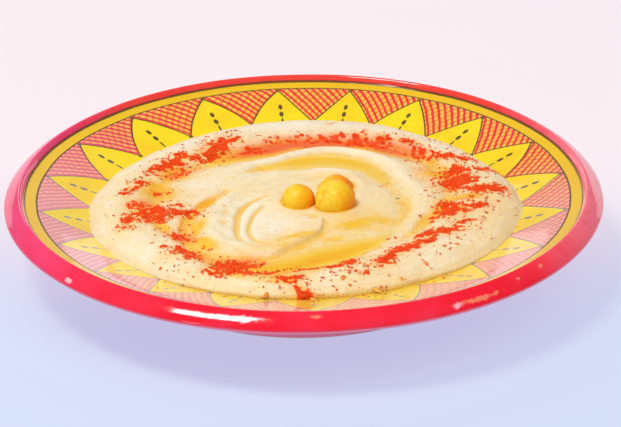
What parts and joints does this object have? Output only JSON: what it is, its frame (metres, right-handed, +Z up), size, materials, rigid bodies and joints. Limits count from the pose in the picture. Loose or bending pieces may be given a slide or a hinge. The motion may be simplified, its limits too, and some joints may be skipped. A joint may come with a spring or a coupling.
{
  "type": "plate of hummus",
  "caption": "Shallow painted dish with a foot ring, filled with a swirled chickpea dip, pools of oil in its grooves and whole chickpeas in its middle.",
  "frame": {"origin": "centre of the foot's sole, on the plate's axis", "axes": "+Z up along the plate's axis, -Y towards the front of the swirl, +X to the right seen from the front"},
  "size_m": [0.21, 0.21, 0.0305],
  "materials": {
    "painted_glaze": "glossy glaze over a hand-painted pattern in red, yellow and black",
    "hummus": "soft satin paste, slightly translucent",
    "oil": "wet, clear golden oil",
    "chickpea": "moist satin skin",
    "paprika": "dry matt powder and flakes"
  },
  "bodies": {
    "root": {"plate": "painted_glaze", "hummus": "hummus", "oil_back_outer": "oil", "oil_back_inner": "oil", "oil_front": "oil", "chickpea_left": "chickpea", "chickpea_right": "chickpea", "chickpea_back": "chickpea"}
  },
  "joints": []
}
